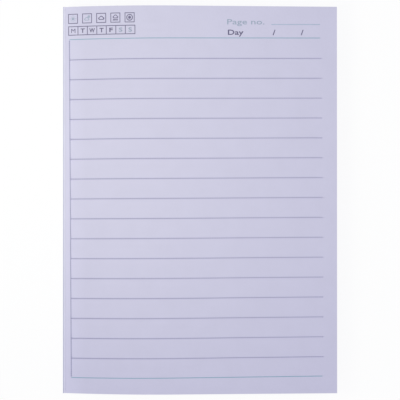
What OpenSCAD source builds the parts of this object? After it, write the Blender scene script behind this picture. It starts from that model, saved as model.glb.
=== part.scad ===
// Undated planner: a soft-covered, glue-bound pocket book of ruled leaves. It lies face up at its
// first page, with the front cover folded right round behind the block, so the page is all that
// shows from above.
// X runs from the bound edge to the fore-edge, Y from the foot of the page to its head, Z up.
// The origin is the middle of the footprint, on the surface that the planner lies on.

/* [Pages] */
// Width of a leaf, from the bound edge to the fore-edge
page_w = 104; // [90:1:140]
// Height of a leaf, from the foot to the head
page_h = 148; // [130:1:200]
// Thickness of the leaves where they are glued together
block_t = 8.6; // [6:0.2:14]
// Rise of the top page from the bound edge to its level part
page_rise = 3.4; // [1:0.2:4.4]
// Distance from the bound edge at which the top page becomes level
level_from = 42; // [25:1:60]

/* [Binding] */
// Thickness of the glue along the bound edge
glue_t = 0.2; // [0.1:0.05:0.5]
// Distance that the glue stops below the top page
glue_recess = 0.1; // [0:0.05:0.5]
// Thickness of the cover card
card_t = 0.3; // [0.2:0.05:0.45]
// Gap between the spine and the hinge strip folded back against it
fold_gap = 0.15; // [0.1:0.05:0.5]
// Height of the fold line above the bound edge of the top page
fold_rise = 0.1; // [0.1:0.05:0.5]
// Gap between the back cover and the front cover folded under it
cover_gap = 0.1; // [0.05:0.05:0.5]
// Gap at the crease between the hinge strip and the front cover
crease_gap = 0.05; // [0.05:0.05:0.2]
// Clearance over the level part of the top page when the front cover is closed
closed_gap = 0.3; // [0.2:0.05:1]

/* [Ruled lines] */
// Thickness of the printed ink
ink_t = 0.05; // [0.02:0.01:0.1]
// Turn of the print on the page, in degrees
print_turn = 0.35; // [-0.5:0.05:0.5]
// Distance between two writing lines
line_gap = 7.61; // [6:0.01:10]
// Width of a printed line
line_w = 0.25; // [0.15:0.05:0.5]
// Space between the head of the page and the first line
head_margin = 12.5; // [11.5:0.5:20]
// Least space between the last line and the foot of the page
foot_margin = 5.5; // [4:0.5:15]
// Space between the bound edge and the upright rule
inner_margin = 1.9; // [1.5:0.1:10]
// Space between the right ends of the lines and the fore-edge
outer_margin = 6.1; // [4:0.1:15]
// Shift of the first and last lines towards the head, as their ink is printed apart
teal_shift = 0.2; // [-0.3:0.05:0.3]

/* [Weather boxes] */
// Number of weather boxes
weather_boxes_n = 5; // [5:1:5]
// Side of a weather box
weather_side = 3.75; // [3:0.05:4.2]
// Distance from one weather box to the next
weather_step = 5.45; // [4.8:0.05:6]
// Distance from the head of the page to the middle of the weather boxes
weather_from_head = 4.35; // [4:0.05:4.5]
// Left side of the weather boxes and the day boxes, from the bound edge
boxes_from_edge = 1.45; // [1:0.05:6]

/* [Day boxes] */
// Number of day boxes, one for each day of the week
days_n = 7; // [7:1:7]
// Width of a day box
day_w = 3.65; // [3.2:0.05:4]
// Height of the day boxes
day_h = 3.5; // [2.8:0.05:3.6]
// Distance from the head of the page to the middle of the day boxes
day_from_head = 8.98; // [8.7:0.02:9.2]

/* [Number and date] */
// Length of the line that a page number is written on
number_line_l = 18.7; // [14:0.1:20]
// Distance from the head of the page to the number line
number_from_head = 7.15; // [6.5:0.05:7.5]
// Length of a date stroke
slash_h = 2.15; // [1.5:0.05:2.2]
// Width of a date stroke
slash_w = 0.32; // [0.15:0.01:0.5]
// Lean of a date stroke, in degrees
slash_lean = 20; // [10:1:30]
// Distance from the head of the page to the middle of the date strokes
slash_from_head = 10.2; // [10:0.05:10.4]
// Distance from the right ends of the lines to the second date stroke
slash_inset = 6.9; // [5:0.1:8]
// Distance between the two date strokes
slash_step = 10.8; // [9:0.1:11]

/* [Hidden] */
$fn = 48;

paper_tint = [0.82, 0.81, 0.9];
card_tint = [0.55, 0.56, 0.66];
glue_tint = [0.93, 0.92, 0.88];
dark_ink = [0.43, 0.4, 0.5];
teal_ink = [0.62, 0.75, 0.8];

// Heights, from the table up
back_z = card_t + cover_gap;
pages_z = back_z + card_t;
edge_z = pages_z + block_t;
crest_z = edge_z + page_rise;

// Distances from the bound edge, which is at x = 0 until the whole is centred
spine_in = -glue_t;
spine_out = spine_in - card_t;
fold_x = spine_out - fold_gap - card_t / 2;
outermost_x = fold_x - card_t / 2;
centre_x = (outermost_x + page_w) / 2;

// The hinge strip turns about the fold line and the front cover about the crease line. When the
// cover is closed the strip climbs at strip_slope, so that the cover lies level over the page.
fold_z = edge_z + fold_rise;
crease_z = card_t / 2;
strip_l = fold_z - crease_z;
strip_slope = asin((crest_z + closed_gap + card_t / 2 - fold_z) / strip_l);
cover_start = card_t / 2 + crease_gap;
cover_l = page_w - (fold_x + strip_l * cos(strip_slope));

// The top page is level past level_from and falls towards the bound edge as a parabola
curve_steps = 14;
function page_z(x) = crest_z - page_rise * pow(max(0, 1 - x / level_from), 2);
function top_curve(lift) = concat(
    [for (i = [0:curve_steps]) let (x = level_from * i / curve_steps) [x, page_z(x) + lift]],
    [[page_w, crest_z + lift]]);
function reversed(list) = [for (i = [len(list) - 1:-1:0]) list[i]];

// Places of the print, from the bound edge and from the middle of the page's height
head_y = page_h / 2;
first_line_y = head_y - head_margin;
spaces_n = floor((page_h - head_margin - foot_margin) / line_gap);
last_line_y = first_line_y - spaces_n * line_gap;
lines_right = page_w - outer_margin;
frame_head_y = first_line_y + teal_shift;
frame_foot_y = last_line_y + teal_shift;
weather_y = head_y - weather_from_head;
day_y = head_y - day_from_head;
number_y = head_y - number_from_head;
slash_y = head_y - slash_from_head;
slash_x = lines_right - slash_inset;

// A section drawn in X and Z, drawn out to the full height of the page
module along_page() {
    rotate([90, 0, 0])
        linear_extrude(height = page_h, center = true)
            children();
}

// Everything is drawn from the bound edge, then moved so that the footprint is centred
module centred() {
    translate([-centre_x, 0, 0])
        children();
}

module pages() {
    color(paper_tint)
        centred()
            along_page()
                polygon(concat([[page_w, pages_z], [0, pages_z]], top_curve(0)));
}

module spine_glue() {
    color(glue_tint)
        centred()
            along_page()
                translate([-glue_t, pages_z])
                    square([glue_t, block_t - glue_recess]);
}

// The back cover and the spine are one card, bent round the lower edge of the spine
module back_cover() {
    color(card_tint)
        centred()
            along_page() {
                translate([spine_in, back_z])
                    square([page_w - spine_in, card_t]);
                translate([spine_out, pages_z])
                    square([card_t, block_t]);
                intersection() {
                    translate([spine_in, pages_z])
                        circle(card_t);
                    translate([spine_out, back_z])
                        square(card_t);
                }
            }
}

// The strip of the front cover between its two folds, as wide as the spine is thick
module cover_hinge() {
    color(card_tint)
        centred()
            along_page() {
                translate([fold_x - card_t / 2, crease_z])
                    square([card_t, strip_l]);
                for (z = [crease_z, fold_z])
                    translate([fold_x, z])
                        circle(card_t / 2);
            }
}

module front_cover() {
    color(card_tint)
        centred()
            along_page()
                translate([fold_x + cover_start, 0])
                    square([cover_l - cover_start, card_t]);
}

// Printed ink: the flat shape given, turned a little on the page and laid over its curve
module ink(tint) {
    color(tint)
        centred()
            intersection() {
                along_page()
                    polygon(concat(top_curve(0), reversed(top_curve(ink_t))));
                translate([page_w / 2, 0, pages_z])
                    rotate(print_turn)
                        translate([-page_w / 2, 0])
                            linear_extrude(height = crest_z + 2 * ink_t - pages_z)
                                children();
            }
}

// A line to the right from x, centred on y
module level_line(x, y, length) {
    translate([x, y - line_w / 2])
        square([length, line_w]);
}

// The outline of a box, drawn inside its size
module box_outline(w, h) {
    difference() {
        square([w, h], center = true);
        square([w - 2 * line_w, h - 2 * line_w], center = true);
    }
}

module writing_lines() {
    ink(dark_ink) {
        for (i = [1:spaces_n - 1])
            level_line(inner_margin, first_line_y - i * line_gap, lines_right - inner_margin);
        translate([inner_margin - line_w / 2, frame_foot_y + line_w])
            square([line_w, frame_head_y - frame_foot_y - 2 * line_w]);
    }
}

module frame_lines() {
    ink(teal_ink)
        for (y = [frame_head_y, frame_foot_y])
            level_line(inner_margin, y, lines_right - inner_margin);
}

// Middle of weather box i, counted from 0
module at_weather_box(i) {
    translate([boxes_from_edge + weather_side / 2 + i * weather_step, weather_y])
        children();
}

module weather_boxes() {
    ink(dark_ink)
        for (i = [0:weather_boxes_n - 1])
            at_weather_box(i)
                box_outline(weather_side, weather_side);
}

// Signs are drawn one unit across and scaled to the room inside a weather box
sign_w = weather_side - 5 * line_w;

module sun_sign() {
    rays = 8;
    disc_r = 0.23;
    ray_w = 0.09;
    ray_l = 0.16;
    circle(disc_r);
    for (i = [0:rays - 1])
        rotate(i * 360 / rays)
            translate([0.5 - ray_l, -ray_w / 2])
                square([ray_l, ray_w]);
}

// A cloud is a tall lobe between two small ones, on a flat base
module cloud_shape() {
    tall_r = 0.27;
    small_r = 0.2;
    base_y = -0.28;
    tall_at = [0.02, 0.06];
    small_x = [-0.24, 0.28];
    translate(tall_at)
        circle(tall_r);
    for (x = small_x)
        translate([x, base_y + small_r])
            circle(small_r);
    translate([small_x[0], base_y])
        square([small_x[1] - small_x[0], small_r]);
}

module cloud_outline() {
    inside = 0.64;
    difference() {
        cloud_shape();
        scale(inside)
            cloud_shape();
    }
}

// A small sun stands out behind the cloud
module fair_cloud_sign() {
    cloud_size = 0.86;
    cloud_at = [-0.06, -0.08];
    sun_at = [0.28, 0.26];
    sun_r = 0.2;
    translate(cloud_at)
        scale(cloud_size)
            cloud_outline();
    difference() {
        translate(sun_at)
            circle(sun_r);
        translate(cloud_at)
            scale(cloud_size)
                cloud_shape();
    }
}

// Rain falls in slanted strokes, close together, below a cloud
module rain_sign() {
    cloud_size = 0.9;
    cloud_y = 0.16;
    drop = [0.13, 0.26];
    drop_y = -0.32;
    drop_lean = 20;
    translate([0, cloud_y])
        scale(cloud_size)
            cloud_outline();
    for (x = [-0.3:0.2:0.3])
        translate([x, drop_y])
            rotate(-drop_lean)
                square(drop, center = true);
}

// A star of three crossed strokes in a ring stands for snow
module snow_sign() {
    ring_w = 0.12;
    star_w = 0.13;
    star_l = 0.5;
    difference() {
        circle(0.5);
        circle(0.5 - ring_w);
    }
    for (a = [30:60:150])
        rotate(a)
            square([star_l, star_w], center = true);
}

module fair_weather_signs() {
    ink(teal_ink) {
        at_weather_box(0)
            scale(sign_w)
                sun_sign();
        at_weather_box(1)
            scale(sign_w)
                fair_cloud_sign();
    }
}

module dull_weather_signs() {
    ink(dark_ink) {
        at_weather_box(2)
            scale(sign_w)
                cloud_outline();
        at_weather_box(3)
            scale(sign_w)
                rain_sign();
        at_weather_box(4)
            scale(sign_w)
                snow_sign();
    }
}

// Neighbouring day boxes share the line between them
module day_boxes() {
    ink(dark_ink)
        for (i = [0:days_n - 1])
            translate([boxes_from_edge + line_w / 2 + (i + 0.5) * day_w, day_y])
                box_outline(day_w + line_w, day_h);
}

module number_line() {
    ink(teal_ink)
        level_line(lines_right - number_line_l, number_y, number_line_l);
}

module date_strokes() {
    ink(dark_ink)
        for (x = [slash_x - slash_step, slash_x])
            translate([x, slash_y])
                rotate(-slash_lean)
                    square([slash_w, slash_h], center = true);
}

pages();
spine_glue();
back_cover();
cover_hinge();
front_cover();
writing_lines();
frame_lines();
weather_boxes();
fair_weather_signs();
dull_weather_signs();
day_boxes();
number_line();
date_strokes();
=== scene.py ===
import math
import random

import bmesh
import bpy
from bpy.props import FloatProperty, FloatVectorProperty, IntProperty, PointerProperty
from mathutils import Matrix, Vector


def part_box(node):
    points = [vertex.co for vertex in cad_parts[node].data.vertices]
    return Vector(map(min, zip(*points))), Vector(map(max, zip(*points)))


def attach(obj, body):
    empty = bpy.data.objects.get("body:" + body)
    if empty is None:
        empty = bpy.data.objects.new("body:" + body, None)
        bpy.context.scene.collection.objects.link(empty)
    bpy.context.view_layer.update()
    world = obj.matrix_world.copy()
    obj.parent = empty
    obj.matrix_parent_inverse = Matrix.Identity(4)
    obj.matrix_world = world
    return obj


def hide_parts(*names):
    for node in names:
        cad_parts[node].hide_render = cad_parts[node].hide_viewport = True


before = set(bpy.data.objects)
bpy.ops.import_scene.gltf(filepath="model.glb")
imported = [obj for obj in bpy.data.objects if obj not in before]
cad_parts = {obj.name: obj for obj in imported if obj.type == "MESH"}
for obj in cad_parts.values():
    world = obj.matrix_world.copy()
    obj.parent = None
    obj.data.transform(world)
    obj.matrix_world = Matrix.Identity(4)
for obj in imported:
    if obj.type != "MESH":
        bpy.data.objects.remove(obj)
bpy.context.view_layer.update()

bl_info = {
    "name": "Undated planner",
    "version": (1, 0, 0),
    "blender": (4, 5, 0),
    "location": "3D View > Sidebar > Planner",
    "description": "Leaves, soft cover, print and studio of a pocket planner",
    "category": "Object",
}

MM = 0.001

# Places taken from the frame. X runs from the bound edge, Y from the middle of the page's height.
PAGES_LOW, PAGES_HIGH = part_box("pages")
BACK_LOW, BACK_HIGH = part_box("back_cover")
STRIP_LOW, STRIP_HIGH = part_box("cover_hinge")
FRONT_LOW, FRONT_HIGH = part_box("front_cover")
BOUND_X = PAGES_LOW.x
PAGE_W = PAGES_HIGH.x - PAGES_LOW.x
PAGE_H = PAGES_HIGH.y - PAGES_LOW.y
CREST_Z = PAGES_HIGH.z
EDGE_Z = BACK_HIGH.z
PAGE_RISE = CREST_Z - EDGE_Z
CARD_T = FRONT_HIGH.z - FRONT_LOW.z
INK_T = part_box("number_line")[1].z - CREST_Z
MICRON = 1e-6
LEVEL_FROM = min(v.co.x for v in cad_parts["pages"].data.vertices
                 if CREST_Z - v.co.z < MICRON) - BOUND_X

# How finely the pieces are made. A leaf has steps over its curve and over its level part, and rows.
LEAF_STEPS = (12, 2, 1)
TOP_PAGE_STEPS = (42, 6, 4)
BEND_STEPS = 6
FOLD_SEGMENTS = 5
WEB_SEGMENTS = 3
CUT_SEGMENTS = 2
DASH_SIDES = 8
LETTER_STEPS = 3
SMOOTH_UNDER = math.radians(30)
ROUND_OVER = math.radians(60)

# A gap between two leaves is at least the first of these, and at most both together.
LEAST_GAP, GAP_SPREAD = 0.35, 1.6

# The far side's print that shines through the page, and painted light: paper made paler at the bound
# edge, for the light on the page's slope there.
GHOST_COLUMN = (29 * MM, 37 * MM)
GHOST_ROWS = ((67.2 * MM, 68.6 * MM), (63.9 * MM, 65.1 * MM))
GHOST_SIDE_BLUR, GHOST_ROW_BLUR = 1.6 * MM, 0.7 * MM
GHOST_TONE = 0.978
BOUND_EDGE_PAINTED_LIGHT, PAINTED_LIGHT_W = 1.07, 8 * MM
ROUGHNESS_PLAY = 0.06

# The sockets of a Mix node that are colours. Their names are shared with its other kinds.
MIX_FIRST, MIX_SECOND, MIX_RESULT = 6, 7, 2

# Letters, in the units of a font, where a line of text is one high. A plain one isn't thickened.
LETTER_WELD = 0.0005
LETTER_STRAIGHT = math.radians(1)
PLAIN = 0.0

# Half the side of the floor, the width of the camera's sensor and the nearest that it sees.
FLOOR_HALF = 1.5
SENSOR_MM = 36.0
CLIP_START = 10 * MM


def page_z(x):
    """Height of the top page at a distance x from the bound edge."""
    fall = max(0.0, 1 - x / LEVEL_FROM)
    return CREST_Z - PAGE_RISE * fall * fall


# Property helpers

def length(name, description, millimetres):
    """A length, given in millimetres and kept in metres."""
    return FloatProperty(name=name, description=description, default=millimetres * MM,
                         min=0.0, precision=5, unit="LENGTH")


def angle(name, description, degrees):
    """An angle, given in degrees and kept in radians."""
    return FloatProperty(name=name, description=description, default=math.radians(degrees),
                         unit="ROTATION")


def share(name, description, default):
    """A share, from 0 to 1."""
    return FloatProperty(name=name, description=description, default=default, min=0.0, max=1.0,
                         subtype="FACTOR")


def colour(name, description, rgb):
    """A colour, as linear red, green and blue."""
    return FloatVectorProperty(name=name, description=description, default=rgb, size=3,
                               min=0.0, max=1.0, subtype="COLOR")


def place(name, description, millimetres):
    """A place, given in millimetres and kept in metres."""
    return FloatVectorProperty(name=name, description=description, size=3, precision=4,
                               default=[v * MM for v in millimetres], subtype="TRANSLATION",
                               unit="LENGTH")


class PlannerBlockSettings(bpy.types.PropertyGroup):
    """Sizes of the block of leaves."""
    leaves_n: IntProperty(name="Leaves", description="Number of leaves in the block",
                          default=96, min=8, max=200)
    leaf_t: length("Leaf thickness", "Thickness of one leaf of paper", 0.085)
    fore_edge_play: length("Fore-edge play", "How far a leaf may end short of the fore-edge", 0.12)
    trim_play: length("Trim play", "How far a leaf may end short of the head or the foot", 0.05)
    seed: IntProperty(name="Seed", description="Start of the random spacing of the leaves",
                      default=7)


class PlannerCoverSettings(bpy.types.PropertyGroup):
    """Sizes of the soft cover."""
    edge_round: length("Edge rounding", "Rounding of the card's cut edges", 0.04)
    fold_round: share("Fold rounding", "Rounding of a fold as a share of half the card", 0.99)
    web_rise: length("Web rise", "Height of the web at the fold over the spine's edge", 0.05)
    web_sink: length("Web sink", "Depth of the web at the fold below the spine's edge", 0.12)


class PlannerPrintSettings(bpy.types.PropertyGroup):
    """Sizes of the print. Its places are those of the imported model."""
    turn: angle("Turn", "Turn of the print on the page", 0.35)
    line_gap: length("Line gap", "Distance between two writing lines", 7.61)
    lines_n: IntProperty(name="Lines", description="Number of dotted writing lines", default=16)
    line_w: length("Line width", "Width of a solid printed line", 0.25)
    head_margin: length("Head margin", "Space between the head and the first line", 12.5)
    inner_margin: length("Inner margin", "Space between the bound edge and the rule", 1.9)
    outer_margin: length("Outer margin", "Space between the lines and the fore-edge", 6.1)
    teal_shift: length("Teal shift", "Shift of the first and last lines to the head", 0.2)
    dash_pitch: length("Dash pitch", "Distance between two dashes of a writing line", 0.87)
    dash_w: length("Dash width", "Width of the dashes of a writing line", 0.35)
    rule_pitch: length("Rule pitch", "Distance between two dashes of the upright rule", 0.81)
    rule_w: length("Rule width", "Width of the dashes of the upright rule", 0.35)
    dash_share: share("Dash share", "Share of the pitch that a dash covers", 0.55)
    days_from_edge: length("Days from edge", "Left side of the day boxes", 1.575)
    day_w: length("Day width", "Width of a day box", 3.65)
    day_from_head: length("Days from head", "Distance of the day boxes from the head", 8.98)
    day_cap: length("Day letter height", "Height of a day's letter", 1.6)
    day_letter_w: length("Day letter width", "Width that the day letters are evened towards", 1.75)
    label_left: length("Label left", "Left side of the page label", 62.3)
    day_label_left: length("Day label left", "Left side of the day label", 62.55)
    label_cap: length("Label height", "Height of a label's capital", 1.95)
    page_from_head: length("Page label from head", "Baseline of the page label", 7.1)
    page_label_w: length("Page label width", "Width of the page label", 14.2)
    day_label_from_head: length("Day label from head", "Baseline of the day label", 11.1)
    day_label_w: length("Day label width", "Width of the day label", 5.9)
    boldness: FloatProperty(name="Boldness", default=0.02,
                            description="How much the day letters are thickened")
    label_boldness: FloatProperty(name="Label boldness", default=0.012,
                                  description="How much the day label is thickened")


class PlannerFinishSettings(bpy.types.PropertyGroup):
    """Colours of the planner."""
    paper: colour("Paper", "Writing paper", (0.6165, 0.601, 0.752))
    card_outside: colour("Cover outside", "Outside of the cover card", (0.258, 0.266, 0.371))
    card_inside: colour("Cover inside", "Inside of the cover card", (0.745, 0.735, 0.89))
    card_core: colour("Card core", "Cut edge of the cover card", (0.66, 0.65, 0.74))
    glue: colour("Glue", "Binding glue", (0.685, 0.67, 0.79))
    dark_ink: colour("Dark ink", "Ink of the dotted rules", (0.09, 0.082, 0.29))
    mark_ink: colour("Mark ink", "Ink of the boxes, the dull signs and the dark letters",
                     (0.1, 0.088, 0.185))
    teal_ink: colour("Teal ink", "Ink of the teal lines", (0.2385, 0.411, 0.512))
    pale_ink: colour("Pale ink", "Ink of the fair signs and the pale letters",
                     (0.2315, 0.331, 0.416))


class PlannerStageSettings(bpy.types.PropertyGroup):
    """Camera, lamp and floor."""
    camera_distance: length("Camera distance", "From the camera to the page", 260)
    camera_left: FloatProperty(name="Camera left", description="Lean of the view to the left",
                               default=0.0299, unit="ROTATION")
    camera_head: FloatProperty(name="Camera up", description="Lean of the view to the head",
                               default=-0.003, unit="ROTATION")
    camera_aim: place("Camera aim", "Where the camera points, from the middle of the planner at "
                      "the height of the page", (-0.03, -0.065, 0))
    lens: FloatProperty(name="Lens", description="Focal length in millimetres on a 36 mm sensor",
                        default=61.46)
    ambient: colour("Ambient", "Light from all around, where 1 is full daylight",
                    (0.706, 0.716, 0.809))
    lamp_tint: colour("Lamp tint", "Colour of the soft lamp", (0.99, 1.0, 0.667))
    lamp_power: FloatProperty(name="Lamp power", description="Power of the soft lamp in watts",
                              default=0.206, unit="POWER")
    lamp_side: length("Lamp side", "Side of the soft lamp", 80)
    lamp_place: place("Lamp place", "Where the soft lamp is", (-89, -16, 200))
    lamp_target: place("Lamp target", "Where the soft lamp points", (136, 300, 0))
    floor_drop: length("Floor drop", "Gap between the planner and the floor", 0.02)
    shadow: share("Shadow", "How much of the planner's shadow the floor shows", 0.1)


def need(found, message):
    """Stops the script where a piece can't be made."""
    if not found:
        raise RuntimeError(message)


# Nodes of a material

def add(tree, kind, inputs=None, **settings):
    """Adds a node, sets its settings, and links or sets its inputs."""
    node = tree.nodes.new(kind)
    for name, value in settings.items():
        setattr(node, name, value)
    for key, value in (inputs or {}).items():
        if isinstance(value, bpy.types.NodeSocket):
            tree.links.new(value, node.inputs[key])
        else:
            node.inputs[key].default_value = value
    return node


def new_finish(name):
    """A new material with a shader and its output. Returns the material, tree and shader."""
    material = bpy.data.materials.new(name)
    material.use_nodes = True
    tree = material.node_tree
    tree.nodes.clear()
    shader = add(tree, "ShaderNodeBsdfPrincipled")
    add(tree, "ShaderNodeOutputMaterial", {"Surface": shader.outputs["BSDF"]})
    return material, tree, shader


def stretched(tree, scale=(1, 1, 1)):
    """Object coordinates. An uneven scale makes a pattern run along one way."""
    place = add(tree, "ShaderNodeTexCoord").outputs["Object"]
    return add(tree, "ShaderNodeMapping", {"Vector": place, "Scale": scale}).outputs["Vector"]


def grain(tree, place, size, detail=3.0):
    """Noise with features of the given size in metres, from 0 to 1."""
    return add(tree, "ShaderNodeTexNoise", {"Vector": place, "Scale": 1 / size, "Detail": detail,
                                            "Roughness": 0.55}).outputs["Fac"]


def ranged(tree, value, low, high, from_low=0.3, from_high=0.7):
    """A value from one range brought into another."""
    return add(tree, "ShaderNodeMapRange", {"Value": value, "From Min": from_low,
                                            "From Max": from_high, "To Min": low,
                                            "To Max": high}).outputs["Result"]


def times(tree, a, b):
    """Two values multiplied."""
    return add(tree, "ShaderNodeMath", {0: a, 1: b}, operation="MULTIPLY").outputs["Value"]


def toned(tree, rgb, factor):
    """A colour made lighter or darker by a factor that changes over the surface."""
    scaled = add(tree, "ShaderNodeVectorMath", {0: tuple(rgb), "Scale": factor},
                 operation="SCALE")
    return scaled.outputs["Vector"]


def bumped(tree, shader, height, strength, depth):
    """Gives the shader a fine relief."""
    bump = add(tree, "ShaderNodeBump", {"Height": height, "Strength": strength, "Distance": depth})
    tree.links.new(bump.outputs["Normal"], shader.inputs["Normal"])


def finish_settings():
    """The colours that the materials start from."""
    return bpy.context.scene.planner_finish


def soft_band(tree, value, low, high, edge):
    """One between low and high, falling softly to nothing outside."""
    up = add(tree, "ShaderNodeMapRange", {"Value": value, "From Min": low - edge,
                                          "From Max": low + edge},
             interpolation_type="SMOOTHSTEP").outputs["Result"]
    down = add(tree, "ShaderNodeMapRange", {"Value": value, "From Min": high - edge,
                                            "From Max": high + edge, "To Min": 1.0,
                                            "To Max": 0.0},
               interpolation_type="SMOOTHSTEP").outputs["Result"]
    return times(tree, up, down)


def paper_finish():
    """Uncoated writing paper: cloudy formation, fine fibres, print of the far side shining through,
    and painted light: the paper made paler towards the bound edge, for the light on the page's slope
    there."""
    material, tree, shader = new_finish("writing_paper")
    place = stretched(tree)
    clouds = ranged(tree, grain(tree, place, 7 * MM, detail=4.0), 0.988, 1.012)
    fibres = grain(tree, stretched(tree, (1.0, 0.35, 1.0)), 0.35 * MM, detail=5.0)
    tone = times(tree, clouds, ranged(tree, fibres, 0.988, 1.012))
    axes = add(tree, "ShaderNodeSeparateXYZ", {"Vector": place})
    across = soft_band(tree, axes.outputs["X"], BOUND_X + GHOST_COLUMN[0],
                       BOUND_X + GHOST_COLUMN[1], GHOST_SIDE_BLUR)
    upper, lower = [soft_band(tree, axes.outputs["Y"], *row, GHOST_ROW_BLUR)
                    for row in GHOST_ROWS]
    rows = add(tree, "ShaderNodeMath", {0: upper, 1: lower}, operation="ADD")
    smear = grain(tree, stretched(tree, (1.0, 0.6, 1.0)), 1.1 * MM, detail=2.0)
    ghost = times(tree, times(tree, across, rows.outputs["Value"]),
                  ranged(tree, smear, 0.2, 1.0))
    tone = times(tree, tone, ranged(tree, ghost, 1.0, GHOST_TONE, from_low=0.0, from_high=1.0))
    # Painted light: the paper is made paler towards the bound edge, standing in for the light that
    # the page's slope there catches.
    tone = times(tree, tone, ranged(tree, axes.outputs["X"], BOUND_EDGE_PAINTED_LIGHT, 1.0, from_low=BOUND_X,
                                    from_high=BOUND_X + PAINTED_LIGHT_W))
    tree.links.new(toned(tree, finish_settings().paper, tone), shader.inputs["Base Color"])
    tree.links.new(ranged(tree, fibres, 0.78, 0.92), shader.inputs["Roughness"])
    shader.inputs["Specular IOR Level"].default_value = 0.25
    bumped(tree, shader, fibres, strength=0.25, depth=0.02 * MM)
    return material


def leaf_edge_finish():
    """The cut edges of the leaves: fine layers, some a little darker than others."""
    material, tree, shader = new_finish("leaf_edges")
    layers = grain(tree, stretched(tree, (0.02, 0.02, 1.0)), 0.16 * MM, detail=2.0)
    bands = grain(tree, stretched(tree, (0.03, 0.03, 1.0)), 1.1 * MM, detail=2.0)
    tone = times(tree, ranged(tree, layers, 0.9, 1.06), ranged(tree, bands, 0.94, 1.05))
    fibres = grain(tree, stretched(tree), 0.12 * MM)
    tone = times(tree, tone, ranged(tree, fibres, 0.97, 1.03))
    tree.links.new(toned(tree, finish_settings().paper, tone), shader.inputs["Base Color"])
    tree.links.new(ranged(tree, fibres, 0.8, 0.95), shader.inputs["Roughness"])
    shader.inputs["Specular IOR Level"].default_value = 0.2
    bumped(tree, shader, layers, strength=0.3, depth=0.02 * MM)
    return material


def card_finish(name, rgb, roughness, fibre, relief):
    """Cover card with a cloudy tone and a fine relief."""
    material, tree, shader = new_finish(name)
    place = stretched(tree)
    clouds = ranged(tree, grain(tree, place, 9 * MM, detail=4.0), 0.975, 1.025)
    tooth = grain(tree, place, fibre, detail=4.0)
    tone = times(tree, clouds, ranged(tree, tooth, 0.97, 1.03))
    tree.links.new(toned(tree, rgb, tone), shader.inputs["Base Color"])
    tree.links.new(ranged(tree, tooth, roughness - ROUGHNESS_PLAY, roughness + ROUGHNESS_PLAY),
                   shader.inputs["Roughness"])
    shader.inputs["Specular IOR Level"].default_value = 0.35
    bumped(tree, shader, tooth, strength=relief, depth=0.03 * MM)
    return material


def glue_finish():
    """Hot-melt binding glue: milky, slightly glossy and uneven."""
    material, tree, shader = new_finish("hot_melt")
    waves = grain(tree, stretched(tree, (1.0, 0.3, 1.0)), 0.8 * MM)
    tree.links.new(toned(tree, finish_settings().glue, ranged(tree, waves, 0.95, 1.05)),
                   shader.inputs["Base Color"])
    tree.links.new(ranged(tree, waves, 0.35, 0.55), shader.inputs["Roughness"])
    bumped(tree, shader, waves, strength=0.4, depth=0.05 * MM)
    return material


def ink_finish(name, rgb, axis, near, far):
    """Printing ink that lets some of the paper through: in specks, and by a share that goes from near
    at the bound edge, or at the foot, to far at the other side."""
    material, tree, shader = new_finish(name)
    place = stretched(tree)
    specks = grain(tree, place, 0.18 * MM)
    along = add(tree, "ShaderNodeSeparateXYZ", {"Vector": place}).outputs[axis]
    side = "XY".index(axis)
    faint = ranged(tree, along, near, far, from_low=PAGES_LOW[side], from_high=PAGES_HIGH[side])
    missed = ranged(tree, specks, 0.0, 0.2, from_low=0.45, from_high=0.75)
    bare = add(tree, "ShaderNodeMath", {0: missed, 1: faint}, operation="ADD").outputs["Value"]
    mixed = add(tree, "ShaderNodeMix", {"Factor": bare}, data_type="RGBA")
    mixed.inputs[MIX_FIRST].default_value = (*rgb, 1.0)
    mixed.inputs[MIX_SECOND].default_value = (*finish_settings().paper, 1.0)
    tree.links.new(mixed.outputs[MIX_RESULT], shader.inputs["Base Color"])
    tree.links.new(ranged(tree, specks, 0.6, 0.75), shader.inputs["Roughness"])
    shader.inputs["Specular IOR Level"].default_value = 0.3
    return material


FINISHES = {}


def finish(name):
    """The material of that name, made once."""
    if name in FINISHES:
        return FINISHES[name]
    chosen = finish_settings()
    makers = {
        "writing_paper": paper_finish,
        "leaf_edges": leaf_edge_finish,
        "card_outside": lambda: card_finish(name, chosen.card_outside, roughness=0.5,
                                            fibre=0.3 * MM, relief=0.2),
        "card_inside": lambda: card_finish(name, chosen.card_inside, roughness=0.75,
                                           fibre=0.5 * MM, relief=0.25),
        "card_core": lambda: card_finish(name, chosen.card_core, roughness=0.85,
                                         fibre=0.1 * MM, relief=0.4),
        "hot_melt": glue_finish,
        "dotted_print": lambda: ink_finish(name, chosen.dark_ink, "X", near=0.0, far=0.2),
        "dark_marks": lambda: ink_finish(name, chosen.mark_ink, "X", near=0.1, far=0.02),
        "teal_lines": lambda: ink_finish(name, chosen.teal_ink, "Y", near=0.0, far=0.04),
        "pale_line": lambda: ink_finish(name, chosen.teal_ink, "X", near=0.38, far=0.38),
        "pale_marks": lambda: ink_finish(name, chosen.pale_ink, "X", near=0.38, far=0.1),
    }
    FINISHES[name] = makers[name]()
    return FINISHES[name]


# Mesh helpers

def add_piece(context, name, bm, finishes, body="block"):
    """Closes a mesh into a finished piece that rides on a body."""
    need(bm.faces, f"{name} has no faces")
    mesh = bpy.data.meshes.new(name)
    bm.to_mesh(mesh)
    bm.free()
    piece = bpy.data.objects.new(name, mesh)
    for item in finishes:
        mesh.materials.append(finish(item))
    context.scene.collection.objects.link(piece)
    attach(piece, body)
    return piece


def smooth(piece):
    """Shades a piece smoothly, apart from its sharp edges."""
    piece.data.polygons.foreach_set("use_smooth", [True] * len(piece.data.polygons))
    piece.data.set_sharp_from_angle(angle=SMOOTH_UNDER)


def leaf_height(lift, fan, x):
    """Height of a leaf's upper face at x: lift at the glue, and its share of the rise beyond."""
    return lift + fan * (page_z(x) - EDGE_Z)


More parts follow.
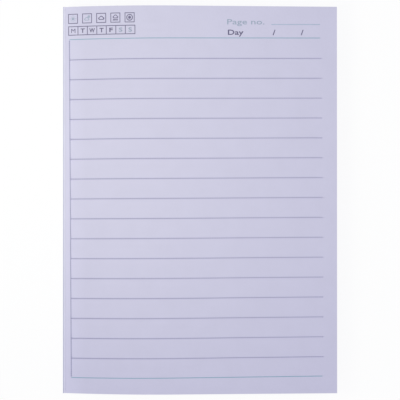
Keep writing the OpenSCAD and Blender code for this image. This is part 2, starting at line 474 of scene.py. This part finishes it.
def add_leaf(bm, lift, fan, right, trim, thickness, steps):
    """Adds one closed leaf, bent as the block is, of the steps given."""
    curve_steps, level_steps, rows = steps
    columns = curve_steps + level_steps
    sheet = bmesh.ops.create_grid(bm, x_segments=columns, y_segments=rows, size=0.5)
    for v in sheet["verts"]:
        step = round((v.co.x + 0.5) * columns)
        if step <= curve_steps:
            x = LEVEL_FROM * step / curve_steps
        else:
            x = LEVEL_FROM + (right - LEVEL_FROM) * (step - curve_steps) / level_steps
        v.co = (BOUND_X + x, v.co.y * (PAGE_H - 2 * trim), leaf_height(lift, fan, x))
    faces = list({f for v in sheet["verts"] for f in v.link_faces})
    lower = bmesh.ops.extrude_face_region(bm, geom=faces)
    sunk = [e for e in lower["geom"] if isinstance(e, bmesh.types.BMVert)]
    bmesh.ops.translate(bm, verts=sunk, vec=(0, 0, -thickness))


def fan_shares(count, seed):
    """How far each leaf has risen with the top one, from the lowest leaf up, unevenly."""
    draw = random.Random(seed)
    gaps = [LEAST_GAP + draw.random() ** 2 * GAP_SPREAD for _ in range(count)]
    total = sum(gaps)
    shares, reached = [], 0.0
    for gap in gaps:
        reached += gap
        shares.append(reached / total)
    return shares


def build_leaves(settings):
    """Every leaf but the top one."""
    bm = bmesh.new()
    draw = random.Random(settings.seed + 1)
    pitch = (EDGE_Z - PAGES_LOW.z) / settings.leaves_n
    shares = fan_shares(settings.leaves_n, settings.seed)
    for i, fan in enumerate(shares[:-1]):
        right = PAGE_W - settings.fore_edge_play * draw.random()
        trim = settings.trim_play * draw.random()
        lift = PAGES_LOW.z + (i + 1) * pitch
        add_leaf(bm, lift, fan, right, trim, settings.leaf_t, LEAF_STEPS)
    bmesh.ops.recalc_face_normals(bm, faces=bm.faces)
    return bm


def build_top_page(settings):
    """The leaf that carries the print."""
    bm = bmesh.new()
    add_leaf(bm, EDGE_Z, 1.0, PAGE_W, 0.0, settings.leaf_t, TOP_PAGE_STEPS)
    bmesh.ops.recalc_face_normals(bm, faces=bm.faces)
    return bm


def draw_on(bm, edge, dx, dz):
    """Draws an edge out by a step and returns the new edge."""
    new = bmesh.ops.extrude_edge_only(bm, edges=[edge])["geom"]
    bmesh.ops.translate(bm, verts=[v for v in new if isinstance(v, bmesh.types.BMVert)],
                        vec=(dx, 0, dz))
    return [e for e in new if isinstance(e, bmesh.types.BMEdge)][0]


def first_edge(bm, x, z):
    """An edge along the whole height of the page."""
    low = bm.verts.new((x, PAGES_LOW.y, z))
    high = bm.verts.new((x, PAGES_HIGH.y, z))
    return bm.edges.new((low, high))


CARD_FINISHES = ["card_outside", "card_inside", "card_core"]
OUTSIDE, INSIDE, CORE = range(3)


def thicken(bm, outward):
    """Makes a card of a drawn-out sheet, away from its outside, and gives its faces the finishes of
    the outside, of the inside and the folds, and of the cut edges at the head and the foot."""
    outer = set(bm.verts)
    bmesh.ops.recalc_face_normals(bm, faces=bm.faces)
    if bm.faces[:][0].normal.dot(outward) < 0:
        bmesh.ops.reverse_faces(bm, faces=bm.faces)
    bmesh.ops.solidify(bm, geom=list(bm.faces), thickness=CARD_T)
    bmesh.ops.remove_doubles(bm, verts=bm.verts, dist=MICRON)
    bm.normal_update()
    for face in bm.faces:
        if all(v in outer for v in face.verts) and abs(face.normal.y) < 0.5:
            face.material_index = OUTSIDE
        else:
            face.material_index = CORE if abs(face.normal.y) > 0.5 else INSIDE


def cut_edge(bm, x):
    """Gives the cut edge of a card at x the finish of its core."""
    for face in bm.faces:
        if all(abs(v.co.x - x) < MICRON for v in face.verts):
            face.material_index = CORE


class PLANNER_OT_leaves(bpy.types.Operator):
    """Makes the block of leaves and the top page"""
    bl_idname = "planner.leaves"
    bl_label = "Leaves"

    def execute(self, context):
        settings = context.scene.planner_block
        leaves = add_piece(context, "leaves", build_leaves(settings), ["leaf_edges"])
        top_page = add_piece(context, "top_page", build_top_page(settings), ["writing_paper"])
        smooth(top_page)
        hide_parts("pages")
        return {"FINISHED"}


def round_edges(bm, offset, segments, chosen):
    """Rounds the sharp edges along the page that the test picks."""
    edges = [e for e in bm.edges
             if len(e.link_faces) == 2 and e.calc_face_angle(0.0) > ROUND_OVER
             and abs(e.verts[0].co.y - e.verts[1].co.y) > PAGE_H / 2 and chosen(e.verts[0].co)]
    need(edges, "there is no edge to round")
    bmesh.ops.bevel(bm, geom=edges, offset=offset, offset_type="OFFSET", segments=segments,
                    profile=0.5, affect="EDGES", material=-1)


def build_back_card(settings):
    """Back cover and spine in one card, bent round the lower edge of the spine."""
    bm = bmesh.new()
    edge = first_edge(bm, BACK_HIGH.x, BACK_LOW.z)
    edge = draw_on(bm, edge, BACK_LOW.x + CARD_T - BACK_HIGH.x, 0)
    bend = bmesh.ops.spin(bm, geom=[*edge.verts, edge], axis=(0, 1, 0), angle=math.pi / 2,
                          cent=(BACK_LOW.x + CARD_T, 0, BACK_LOW.z + CARD_T), steps=BEND_STEPS)
    edge = [e for e in bend["geom_last"] if isinstance(e, bmesh.types.BMEdge)][0]
    draw_on(bm, edge, 0, BACK_HIGH.z - BACK_LOW.z - CARD_T)
    bmesh.ops.remove_doubles(bm, verts=bm.verts, dist=MICRON)
    bm.faces.ensure_lookup_table()
    thicken(bm, Vector((0, 0, -1)))
    cut_edge(bm, BACK_HIGH.x)
    round_edges(bm, settings.edge_round, CUT_SEGMENTS, lambda co: co.x > 0)
    return bm


def build_strip_card(settings):
    """The strip between the two folds, with both ends rounded."""
    bm = bmesh.new()
    edge = first_edge(bm, STRIP_HIGH.x, STRIP_LOW.z)
    draw_on(bm, edge, 0, STRIP_HIGH.z - STRIP_LOW.z)
    thicken(bm, Vector((1, 0, 0)))
    round_edges(bm, CARD_T / 2 * settings.fold_round, FOLD_SEGMENTS, lambda co: True)
    return bm


def build_front_card(settings):
    """The front cover, from the middle of the crease to its free edge."""
    bm = bmesh.new()
    fold_r = CARD_T / 2
    start = (STRIP_LOW.x + STRIP_HIGH.x) / 2 - fold_r
    edge = first_edge(bm, start, FRONT_HIGH.z)
    draw_on(bm, edge, FRONT_HIGH.x - start, 0)
    thicken(bm, Vector((0, 0, 1)))
    cut_edge(bm, FRONT_HIGH.x)
    round_edges(bm, settings.edge_round, CUT_SEGMENTS, lambda co: co.x > 0)
    round_edges(bm, fold_r * settings.fold_round, FOLD_SEGMENTS, lambda co: co.x < 0)
    return bm


def build_fold_web(settings):
    """The card between the top of the spine and the fold, where the cover bends over."""
    bm = bmesh.new()
    overlap = MICRON * 20
    low = Vector((STRIP_HIGH.x - overlap, PAGES_LOW.y, EDGE_Z - settings.web_sink))
    high = Vector((BACK_LOW.x + CARD_T + overlap, PAGES_HIGH.y, EDGE_Z + settings.web_rise))
    bmesh.ops.create_cube(bm, size=1.0, matrix=Matrix.Translation((low + high) / 2)
                          @ Matrix.Diagonal((*(high - low), 1)))
    round_edges(bm, settings.web_rise * settings.fold_round, WEB_SEGMENTS, lambda co: co.z > EDGE_Z)
    return bm


class PLANNER_OT_cover(bpy.types.Operator):
    """Makes the three panels of the soft cover"""
    bl_idname = "planner.cover"
    bl_label = "Soft cover"

    def execute(self, context):
        settings = context.scene.planner_cover
        for name, build, node, body in (
                ("back_card", build_back_card, "back_cover", "block"),
                ("strip_card", build_strip_card, "cover_hinge", "hinge_strip"),
                ("front_card", build_front_card, "front_cover", "cover")):
            piece = add_piece(context, name, build(settings), CARD_FINISHES, body)
            smooth(piece)
            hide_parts(node)
        web = add_piece(context, "fold_web", build_fold_web(settings), ["card_inside"])
        smooth(web)
        return {"FINISHED"}


# Print

def lay_on_page(bm, turn):
    """Turns flat print about the page's middle and bends it over the page."""
    middle = Vector((PAGE_W / 2, 0, 0))
    bmesh.ops.rotate(bm, verts=bm.verts, cent=middle, matrix=Matrix.Rotation(turn, 3, "Z"))
    for v in bm.verts:
        v.co = (BOUND_X + v.co.x, v.co.y, v.co.z + page_z(v.co.x))


def add_dash(bm, x, y, along, across):
    """One flat dash with rounded corners."""
    half_side = math.pi / DASH_SIDES
    radius = 0.5 / math.cos(half_side)
    place = (Matrix.Translation((x, y, INK_T / 2)) @ Matrix.Diagonal((along, across, INK_T, 1))
             @ Matrix.Rotation(half_side, 4, "Z"))
    bmesh.ops.create_cone(bm, cap_ends=True, segments=DASH_SIDES, radius1=radius,
                          radius2=radius, depth=1.0, matrix=place)


def build_dotted_rules(settings):
    """The dotted writing lines and the dotted upright rule beside them."""
    bm = bmesh.new()
    first_y = PAGE_H / 2 - settings.head_margin
    line_l = PAGE_W - settings.outer_margin - settings.inner_margin
    dash = settings.dash_pitch * settings.dash_share
    for i in range(1, settings.lines_n + 1):
        for k in range(math.ceil(line_l / settings.dash_pitch)):
            x = settings.inner_margin + (k + 0.5) * settings.dash_pitch
            add_dash(bm, x, first_y - i * settings.line_gap, dash, settings.dash_w)
    dash = settings.rule_pitch * settings.dash_share
    rule_l = (settings.lines_n + 1) * settings.line_gap - 2 * settings.line_w
    for k in range(int(rule_l / settings.rule_pitch)):
        y = first_y + settings.teal_shift - settings.line_w - (k + 0.5) * settings.rule_pitch
        add_dash(bm, settings.inner_margin, y, settings.rule_w, dash)
    lay_on_page(bm, settings.turn)
    return bm


class PLANNER_OT_dotted_rules(bpy.types.Operator):
    """Makes the dotted writing lines and the dotted upright rule"""
    bl_idname = "planner.dotted_rules"
    bl_label = "Dotted rules"

    def execute(self, context):
        bm = build_dotted_rules(context.scene.planner_print)
        rules = add_piece(context, "dotted_rules", bm, ["dotted_print"])
        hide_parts("writing_lines")
        return {"FINISHED"}


def letter_mesh(context, words, boldness):
    """Flat letters as a mesh, with the baseline at zero and a height of about one."""
    curve = bpy.data.curves.new("letters", "FONT")
    curve.body = words
    curve.offset = boldness
    curve.resolution_u = LETTER_STEPS
    curve.fill_mode = "FRONT"
    shape = bpy.data.objects.new("letters", curve)
    context.scene.collection.objects.link(shape)
    context.view_layer.update()
    flat = shape.evaluated_get(context.evaluated_depsgraph_get())
    mesh = bpy.data.meshes.new_from_object(flat)
    bpy.data.objects.remove(shape)
    bpy.data.curves.remove(curve)
    need(mesh.vertices, f"no letters came of {words}")
    return mesh


def add_word(context, bm, words, left, baseline, cap, boldness, width=None, even_w=0.0):
    """Adds a word with its capitals cap high, which starts at left and is as wide as given. Without
    a width its middle is at left, and its own width is brought halfway to even_w."""
    mesh = letter_mesh(context, words, boldness)
    fresh = bmesh.new()
    fresh.from_mesh(mesh)
    bpy.data.meshes.remove(mesh)
    bmesh.ops.remove_doubles(fresh, verts=fresh.verts, dist=LETTER_WELD)
    bmesh.ops.dissolve_limit(fresh, angle_limit=LETTER_STRAIGHT, verts=fresh.verts,
                             edges=fresh.edges)
    low, high = min(v.co.x for v in fresh.verts), max(v.co.x for v in fresh.verts)
    tall = cap / max(v.co.y for v in fresh.verts)
    if width:
        wide = width / (high - low)
        start = left - low * wide
    else:
        wide = (tall + even_w / (high - low)) / 2
        start = left - (low + high) / 2 * wide
    bmesh.ops.transform(fresh, verts=fresh.verts, matrix=Matrix.Translation((start, baseline, 0))
                        @ Matrix.Diagonal((wide, tall, 1, 1)))
    top = bmesh.ops.extrude_face_region(fresh, geom=list(fresh.faces))
    raised = [e for e in top["geom"] if isinstance(e, bmesh.types.BMVert)]
    bmesh.ops.translate(fresh, verts=raised, vec=(0, 0, INK_T))
    bmesh.ops.recalc_face_normals(fresh, faces=fresh.faces)
    joined = bpy.data.meshes.new("word")
    fresh.to_mesh(joined)
    fresh.free()
    bm.from_mesh(joined)
    bpy.data.meshes.remove(joined)


class PLANNER_OT_lettering(bpy.types.Operator):
    """Makes the plain labels and the day letters"""
    bl_idname = "planner.lettering"
    bl_label = "Lettering"

    def execute(self, context):
        settings = context.scene.planner_print
        head = PAGE_H / 2
        dark, teal = bmesh.new(), bmesh.new()
        for i, letter in enumerate("MTWTFSS"):
            x = settings.days_from_edge + (i + 0.5) * settings.day_w
            baseline = head - settings.day_from_head - settings.day_cap / 2
            # The narrow corners of the M would close up if it were made bolder.
            boldness = PLAIN if letter == "M" else settings.boldness
            add_word(context, dark if i < 5 else teal, letter, x, baseline, settings.day_cap,
                     boldness, even_w=settings.day_letter_w)
        add_word(context, teal, "Page no.", settings.label_left,
                 head - settings.page_from_head, settings.label_cap, PLAIN,
                 settings.page_label_w)
        add_word(context, dark, "Day", settings.day_label_left,
                 head - settings.day_label_from_head, settings.label_cap,
                 settings.label_boldness, settings.day_label_w)
        for name, bm, ink, slot in (("dark_lettering", dark, "dark_marks", "dark_ink"),
                                    ("teal_lettering", teal, "pale_marks", "teal_ink")):
            lay_on_page(bm, settings.turn)
            add_piece(context, name, bm, [ink])
        return {"FINISHED"}


CARRIED_OVER = {
    "spine_glue": "hot_melt",
    "frame_lines": "teal_lines",
    "weather_boxes": "dark_marks",
    "fair_weather_signs": "pale_marks",
    "dull_weather_signs": "dark_marks",
    "day_boxes": "dark_marks",
    "number_line": "pale_line",
    "date_strokes": "dark_marks",
}


class PLANNER_OT_printed_marks(bpy.types.Operator):
    """Gives the glue and the solid print their finishes"""
    bl_idname = "planner.printed_marks"
    bl_label = "Glue and solid print"

    def execute(self, context):
        for node, item in CARRIED_OVER.items():
            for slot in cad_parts[node].material_slots:
                slot.material = finish(item)
        return {"FINISHED"}


# Stage

def seen_directly(tree):
    """One for rays that come from the camera, a reflection or glass."""
    path = add(tree, "ShaderNodeLightPath")
    ray = add(tree, "ShaderNodeMath", {0: path.outputs["Is Camera Ray"],
                                       1: path.outputs["Is Glossy Ray"]}, operation="MAXIMUM")
    return add(tree, "ShaderNodeMath", {0: ray.outputs["Value"],
                                        1: path.outputs["Is Transmission Ray"]},
               operation="MAXIMUM").outputs["Value"]


def light_world(settings):
    """Even light from all around, and white where it is seen."""
    world = bpy.data.worlds.new("studio")
    world.use_nodes = True
    tree = world.node_tree
    tree.nodes.clear()
    around = add(tree, "ShaderNodeBackground", {"Strength": 1.0})
    around.inputs["Color"].default_value = (*settings.ambient, 1)
    white = add(tree, "ShaderNodeBackground", {"Strength": 1.0})
    white.inputs["Color"].default_value = (1, 1, 1, 1)
    mixed = add(tree, "ShaderNodeMixShader", {0: seen_directly(tree),
                                              1: around.outputs["Background"],
                                              2: white.outputs["Background"]})
    add(tree, "ShaderNodeOutputWorld", {"Surface": mixed.outputs["Shader"]})
    bpy.context.scene.world = world


def floor_finish(settings):
    """A white floor that keeps a faint shadow."""
    material = bpy.data.materials.new("floor")
    material.use_nodes = True
    tree = material.node_tree
    tree.nodes.clear()
    matt = add(tree, "ShaderNodeBsdfDiffuse")
    matt.inputs["Color"].default_value = (1, 1, 1, 1)
    glow = add(tree, "ShaderNodeEmission", {"Strength": 1.0})
    shown = times(tree, seen_directly(tree), 1 - settings.shadow)
    mixed = add(tree, "ShaderNodeMixShader", {0: shown, 1: matt.outputs["BSDF"],
                                              2: glow.outputs["Emission"]})
    add(tree, "ShaderNodeOutputMaterial", {"Surface": mixed.outputs["Shader"]})
    return material


def looking(place, target, up):
    """The matrix of a camera or lamp at place that looks at target."""
    ahead = (target - place).normalized()
    right = ahead.cross(up).normalized()
    turned = Matrix((right, right.cross(ahead), -ahead)).transposed()
    return Matrix.Translation(place) @ turned.to_4x4()


def add_floor(scene, settings):
    """The floor, just under the planner."""
    bm = bmesh.new()
    bmesh.ops.create_grid(bm, x_segments=1, y_segments=1, size=FLOOR_HALF)
    bmesh.ops.translate(bm, verts=bm.verts, vec=(0, 0, -settings.floor_drop))
    mesh = bpy.data.meshes.new("floor")
    bm.to_mesh(mesh)
    bm.free()
    mesh.materials.append(floor_finish(settings))
    floor = bpy.data.objects.new("floor", mesh)
    scene.collection.objects.link(floor)


def add_lamp(scene, settings):
    """The soft lamp, which the camera doesn't see."""
    light = bpy.data.lights.new("soft_lamp", "AREA")
    light.energy = settings.lamp_power
    light.color = settings.lamp_tint
    light.shape = "SQUARE"
    light.size = settings.lamp_side
    lamp = bpy.data.objects.new("soft_lamp", light)
    lamp.matrix_world = looking(Vector(settings.lamp_place), Vector(settings.lamp_target),
                                Vector((0, 0, 1)))
    lamp.visible_camera = False
    scene.collection.objects.link(lamp)


def add_camera(scene, settings):
    """The camera over the page, with the head of the page up."""
    lens = bpy.data.cameras.new("camera")
    lens.lens = settings.lens
    lens.sensor_width = SENSOR_MM
    lens.clip_start = CLIP_START
    camera = bpy.data.objects.new("camera", lens)
    aim = Vector(settings.camera_aim) + Vector((0, 0, CREST_Z))
    left, head = settings.camera_left, settings.camera_head
    away = Vector((-math.sin(left) * math.cos(head), math.sin(head),
                   math.cos(left) * math.cos(head)))
    camera.matrix_world = looking(aim + away * settings.camera_distance, aim, Vector((0, 1, 0)))
    scene.collection.objects.link(camera)
    scene.camera = camera


class PLANNER_OT_stage(bpy.types.Operator):
    """Makes the floor, the light and the camera"""
    bl_idname = "planner.stage"
    bl_label = "Stage"

    def execute(self, context):
        settings = context.scene.planner_stage
        context.scene.view_settings.view_transform = "Standard"
        add_floor(context.scene, settings)
        light_world(settings)
        add_lamp(context.scene, settings)
        add_camera(context.scene, settings)
        return {"FINISHED"}


STEPS = [PLANNER_OT_leaves, PLANNER_OT_cover, PLANNER_OT_dotted_rules, PLANNER_OT_lettering,
         PLANNER_OT_printed_marks, PLANNER_OT_stage]


class PLANNER_PT_panel(bpy.types.Panel):
    """Lists the steps and the settings of the planner"""
    bl_idname = "PLANNER_PT_panel"
    bl_label = "Undated planner"
    bl_space_type = "VIEW_3D"
    bl_region_type = "UI"
    bl_category = "Planner"

    def draw(self, context):
        for step in STEPS:
            self.layout.operator(step.bl_idname)
        for name in SETTINGS:
            box = self.layout.box()
            group = getattr(context.scene, name)
            for item in group.bl_rna.properties:
                if item.identifier not in ("rna_type", "name"):
                    box.prop(group, item.identifier)


SETTINGS = {
    "planner_block": PlannerBlockSettings,
    "planner_cover": PlannerCoverSettings,
    "planner_print": PlannerPrintSettings,
    "planner_finish": PlannerFinishSettings,
    "planner_stage": PlannerStageSettings,
}
CLASSES = [*SETTINGS.values(), *STEPS, PLANNER_PT_panel]


def register():
    for item in CLASSES:
        bpy.utils.register_class(item)
    for name, group in SETTINGS.items():
        setattr(bpy.types.Scene, name, PointerProperty(type=group))


def unregister():
    for name in SETTINGS:
        delattr(bpy.types.Scene, name)
    for item in reversed(CLASSES):
        bpy.utils.unregister_class(item)


def main():
    register()
    bpy.ops.planner.leaves()
    bpy.ops.planner.cover()
    bpy.ops.planner.dotted_rules()
    bpy.ops.planner.lettering()
    bpy.ops.planner.printed_marks()
    bpy.ops.planner.stage()


if __name__ == "__main__":
    main()
